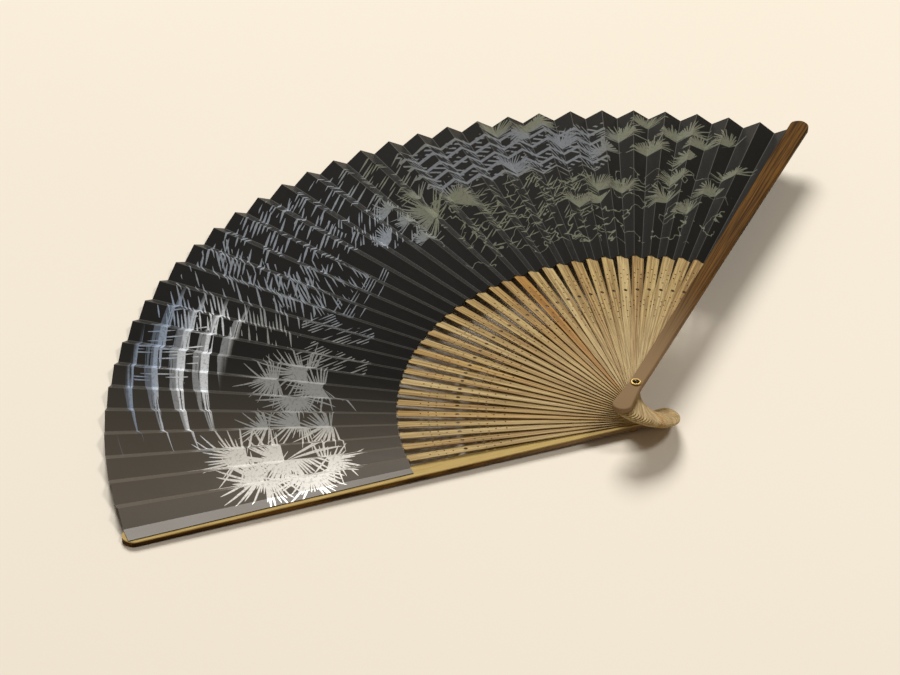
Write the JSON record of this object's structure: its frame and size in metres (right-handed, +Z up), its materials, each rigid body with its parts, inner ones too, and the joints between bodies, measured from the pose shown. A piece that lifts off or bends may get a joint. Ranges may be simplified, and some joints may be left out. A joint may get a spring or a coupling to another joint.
{
  "type": "folding hand fan",
  "caption": "Open folding hand fan: pierced bamboo ribs and two guard sticks on one rivet, with a pleated two-ply black paper leaf printed in silver.",
  "frame": {"origin": "on the table plane, under the middle of the open fan's bounding box", "axes": "+X along the open fan's span from the back guard's side to the front guard's side, +Y from the rivet towards the leaf's outer edge, +Z up; the fan lies open with its printed side up"},
  "size_m": [0.386, 0.2234, 0.024],
  "materials": {
    "guard": "satin stained bamboo outside, pale yellow bamboo inside",
    "bamboo": "satin, fine lengthwise grain",
    "paper": "matt black paper with a silver print on the front",
    "brass": "dull",
    "rivet_dark": "dark glossy head"
  },
  "bodies": {
    "base": {"guard_back": "guard", "leaf_back_ply": "paper", "leaf_front_ply": "paper", "rivet_pin": "rivet_dark", "rivet_ring": "brass", "rivet_foot": "brass"},
    "front_guard": {"guard_front": "guard"},
    "stick_01": {"rib_01": "bamboo"},
    "stick_02": {"rib_02": "bamboo"},
    "stick_03": {"rib_03": "bamboo"},
    "stick_04": {"rib_04": "bamboo"},
    "stick_05": {"rib_05": "bamboo"},
    "stick_06": {"rib_06": "bamboo"},
    "stick_07": {"rib_07": "bamboo"},
    "stick_08": {"rib_08": "bamboo"},
    "stick_09": {"rib_09": "bamboo"},
    "stick_10": {"rib_10": "bamboo"},
    "stick_11": {"rib_11": "bamboo"},
    "stick_12": {"rib_12": "bamboo"},
    "stick_13": {"rib_13": "bamboo"},
    "stick_14": {"rib_14": "bamboo"},
    "stick_15": {"rib_15": "bamboo"},
    "stick_16": {"rib_16": "bamboo"},
    "stick_17": {"rib_17": "bamboo"},
    "stick_18": {"rib_18": "bamboo"},
    "stick_19": {"rib_19": "bamboo"},
    "stick_20": {"rib_20": "bamboo"},
    "stick_21": {"rib_21": "bamboo"},
    "stick_22": {"rib_22": "bamboo"},
    "stick_23": {"rib_23": "bamboo"},
    "stick_24": {"rib_24": "bamboo"},
    "stick_25": {"rib_25": "bamboo"},
    "stick_26": {"rib_26": "bamboo"},
    "stick_27": {"rib_27": "bamboo"},
    "stick_28": {"rib_28": "bamboo"},
    "stick_29": {"rib_29": "bamboo"},
    "stick_30": {"rib_30": "bamboo"},
    "stick_31": {"rib_31": "bamboo"},
    "stick_32": {"rib_32": "bamboo"},
    "stick_33": {"rib_33": "bamboo"}
  },
  "joints": [
    {"name": "fan_fold", "type": "hinge", "parent": "base", "child": "front_guard", "pos_m": [-0.0013, -0.09369, 0.00373], "axis": [0.0154, 0.0552, 0.9984], "range_deg": [0, 136], "deforming": ["leaf_front_ply", "leaf_back_ply"]},
    {"name": "turn_01", "type": "hinge", "parent": "base", "child": "stick_01", "pos_m": [-0.0013, -0.09369, 0.00373], "axis": [0.0154, 0.0552, 0.9984], "range_deg": [0, 4.05]},
    {"name": "turn_02", "type": "hinge", "parent": "base", "child": "stick_02", "pos_m": [-0.0013, -0.09369, 0.00373], "axis": [0.0154, 0.0552, 0.9984], "range_deg": [0, 8.05]},
    {"name": "turn_03", "type": "hinge", "parent": "base", "child": "stick_03", "pos_m": [-0.0013, -0.09369, 0.00373], "axis": [0.0154, 0.0552, 0.9984], "range_deg": [0, 12.05]},
    {"name": "turn_04", "type": "hinge", "parent": "base", "child": "stick_04", "pos_m": [-0.0013, -0.09369, 0.00373], "axis": [0.0154, 0.0552, 0.9984], "range_deg": [0, 16.05]},
    {"name": "turn_05", "type": "hinge", "parent": "base", "child": "stick_05", "pos_m": [-0.0013, -0.09369, 0.00373], "axis": [0.0154, 0.0552, 0.9984], "range_deg": [0, 20.05]},
    {"name": "turn_06", "type": "hinge", "parent": "base", "child": "stick_06", "pos_m": [-0.0013, -0.09369, 0.00373], "axis": [0.0154, 0.0552, 0.9984], "range_deg": [0, 24.05]},
    {"name": "turn_07", "type": "hinge", "parent": "base", "child": "stick_07", "pos_m": [-0.0013, -0.09369, 0.00373], "axis": [0.0154, 0.0552, 0.9984], "range_deg": [0, 28.05]},
    {"name": "turn_08", "type": "hinge", "parent": "base", "child": "stick_08", "pos_m": [-0.0013, -0.09369, 0.00373], "axis": [0.0154, 0.0552, 0.9984], "range_deg": [0, 32.05]},
    {"name": "turn_09", "type": "hinge", "parent": "base", "child": "stick_09", "pos_m": [-0.0013, -0.09369, 0.00373], "axis": [0.0154, 0.0552, 0.9984], "range_deg": [0, 36.05]},
    {"name": "turn_10", "type": "hinge", "parent": "base", "child": "stick_10", "pos_m": [-0.0013, -0.09369, 0.00373], "axis": [0.0154, 0.0552, 0.9984], "range_deg": [0, 40.05]},
    {"name": "turn_11", "type": "hinge", "parent": "base", "child": "stick_11", "pos_m": [-0.0013, -0.09369, 0.00373], "axis": [0.0154, 0.0552, 0.9984], "range_deg": [0, 44.05]},
    {"name": "turn_12", "type": "hinge", "parent": "base", "child": "stick_12", "pos_m": [-0.0013, -0.09369, 0.00373], "axis": [0.0154, 0.0552, 0.9984], "range_deg": [0, 48.05]},
    {"name": "turn_13", "type": "hinge", "parent": "base", "child": "stick_13", "pos_m": [-0.0013, -0.09369, 0.00373], "axis": [0.0154, 0.0552, 0.9984], "range_deg": [0, 52.05]},
    {"name": "turn_14", "type": "hinge", "parent": "base", "child": "stick_14", "pos_m": [-0.0013, -0.09369, 0.00373], "axis": [0.0154, 0.0552, 0.9984], "range_deg": [0, 56.05]},
    {"name": "turn_15", "type": "hinge", "parent": "base", "child": "stick_15", "pos_m": [-0.0013, -0.09369, 0.00373], "axis": [0.0154, 0.0552, 0.9984], "range_deg": [0, 60.05]},
    {"name": "turn_16", "type": "hinge", "parent": "base", "child": "stick_16", "pos_m": [-0.0013, -0.09369, 0.00373], "axis": [0.0154, 0.0552, 0.9984], "range_deg": [0, 64.05]},
    {"name": "turn_17", "type": "hinge", "parent": "base", "child": "stick_17", "pos_m": [-0.0013, -0.09369, 0.00373], "axis": [0.0154, 0.0552, 0.9984], "range_deg": [0, 68.05]},
    {"name": "turn_18", "type": "hinge", "parent": "base", "child": "stick_18", "pos_m": [-0.0013, -0.09369, 0.00373], "axis": [0.0154, 0.0552, 0.9984], "range_deg": [0, 72.05]},
    {"name": "turn_19", "type": "hinge", "parent": "base", "child": "stick_19", "pos_m": [-0.0013, -0.09369, 0.00373], "axis": [0.0154, 0.0552, 0.9984], "range_deg": [0, 76.05]},
    {"name": "turn_20", "type": "hinge", "parent": "base", "child": "stick_20", "pos_m": [-0.0013, -0.09369, 0.00373], "axis": [0.0154, 0.0552, 0.9984], "range_deg": [0, 80.05]},
    {"name": "turn_21", "type": "hinge", "parent": "base", "child": "stick_21", "pos_m": [-0.0013, -0.09369, 0.00373], "axis": [0.0154, 0.0552, 0.9984], "range_deg": [0, 84.05]},
    {"name": "turn_22", "type": "hinge", "parent": "base", "child": "stick_22", "pos_m": [-0.0013, -0.09369, 0.00373], "axis": [0.0154, 0.0552, 0.9984], "range_deg": [0, 88.05]},
    {"name": "turn_23", "type": "hinge", "parent": "base", "child": "stick_23", "pos_m": [-0.0013, -0.09369, 0.00373], "axis": [0.0154, 0.0552, 0.9984], "range_deg": [0, 92.05]},
    {"name": "turn_24", "type": "hinge", "parent": "base", "child": "stick_24", "pos_m": [-0.0013, -0.09369, 0.00373], "axis": [0.0154, 0.0552, 0.9984], "range_deg": [0, 96.05]},
    {"name": "turn_25", "type": "hinge", "parent": "base", "child": "stick_25", "pos_m": [-0.0013, -0.09369, 0.00373], "axis": [0.0154, 0.0552, 0.9984], "range_deg": [0, 100.05]},
    {"name": "turn_26", "type": "hinge", "parent": "base", "child": "stick_26", "pos_m": [-0.0013, -0.09369, 0.00373], "axis": [0.0154, 0.0552, 0.9984], "range_deg": [0, 104.05]},
    {"name": "turn_27", "type": "hinge", "parent": "base", "child": "stick_27", "pos_m": [-0.0013, -0.09369, 0.00373], "axis": [0.0154, 0.0552, 0.9984], "range_deg": [0, 108.05]},
    {"name": "turn_28", "type": "hinge", "parent": "base", "child": "stick_28", "pos_m": [-0.0013, -0.09369, 0.00373], "axis": [0.0154, 0.0552, 0.9984], "range_deg": [0, 112.05]},
    {"name": "turn_29", "type": "hinge", "parent": "base", "child": "stick_29", "pos_m": [-0.0013, -0.09369, 0.00373], "axis": [0.0154, 0.0552, 0.9984], "range_deg": [0, 116.05]},
    {"name": "turn_30", "type": "hinge", "parent": "base", "child": "stick_30", "pos_m": [-0.0013, -0.09369, 0.00373], "axis": [0.0154, 0.0552, 0.9984], "range_deg": [0, 120.05]},
    {"name": "turn_31", "type": "hinge", "parent": "base", "child": "stick_31", "pos_m": [-0.0013, -0.09369, 0.00373], "axis": [0.0154, 0.0552, 0.9984], "range_deg": [0, 124.05]},
    {"name": "turn_32", "type": "hinge", "parent": "base", "child": "stick_32", "pos_m": [-0.0013, -0.09369, 0.00373], "axis": [0.0154, 0.0552, 0.9984], "range_deg": [0, 128.05]},
    {"name": "turn_33", "type": "hinge", "parent": "base", "child": "stick_33", "pos_m": [-0.0013, -0.09369, 0.00373], "axis": [0.0154, 0.0552, 0.9984], "range_deg": [0, 132.05]}
  ],
  "couplings": [
    {"joint": "turn_01", "follows": "fan_fold", "ratio": 0.029412},
    {"joint": "turn_02", "follows": "fan_fold", "ratio": 0.058824},
    {"joint": "turn_03", "follows": "fan_fold", "ratio": 0.088235},
    {"joint": "turn_04", "follows": "fan_fold", "ratio": 0.11765},
    {"joint": "turn_05", "follows": "fan_fold", "ratio": 0.14706},
    {"joint": "turn_06", "follows": "fan_fold", "ratio": 0.17647},
    {"joint": "turn_07", "follows": "fan_fold", "ratio": 0.20588},
    {"joint": "turn_08", "follows": "fan_fold", "ratio": 0.23529},
    {"joint": "turn_09", "follows": "fan_fold", "ratio": 0.26471},
    {"joint": "turn_10", "follows": "fan_fold", "ratio": 0.29412},
    {"joint": "turn_11", "follows": "fan_fold", "ratio": 0.32353},
    {"joint": "turn_12", "follows": "fan_fold", "ratio": 0.35294},
    {"joint": "turn_13", "follows": "fan_fold", "ratio": 0.38235},
    {"joint": "turn_14", "follows": "fan_fold", "ratio": 0.41176},
    {"joint": "turn_15", "follows": "fan_fold", "ratio": 0.44118},
    {"joint": "turn_16", "follows": "fan_fold", "ratio": 0.47059},
    {"joint": "turn_17", "follows": "fan_fold", "ratio": 0.5},
    {"joint": "turn_18", "follows": "fan_fold", "ratio": 0.52941},
    {"joint": "turn_19", "follows": "fan_fold", "ratio": 0.55882},
    {"joint": "turn_20", "follows": "fan_fold", "ratio": 0.58823},
    {"joint": "turn_21", "follows": "fan_fold", "ratio": 0.61765},
    {"joint": "turn_22", "follows": "fan_fold", "ratio": 0.64706},
    {"joint": "turn_23", "follows": "fan_fold", "ratio": 0.67647},
    {"joint": "turn_24", "follows": "fan_fold", "ratio": 0.70588},
    {"joint": "turn_25", "follows": "fan_fold", "ratio": 0.73529},
    {"joint": "turn_26", "follows": "fan_fold", "ratio": 0.76471},
    {"joint": "turn_27", "follows": "fan_fold", "ratio": 0.79412},
    {"joint": "turn_28", "follows": "fan_fold", "ratio": 0.82353},
    {"joint": "turn_29", "follows": "fan_fold", "ratio": 0.85294},
    {"joint": "turn_30", "follows": "fan_fold", "ratio": 0.88235},
    {"joint": "turn_31", "follows": "fan_fold", "ratio": 0.91177},
    {"joint": "turn_32", "follows": "fan_fold", "ratio": 0.94118},
    {"joint": "turn_33", "follows": "fan_fold", "ratio": 0.97059}
  ]
}
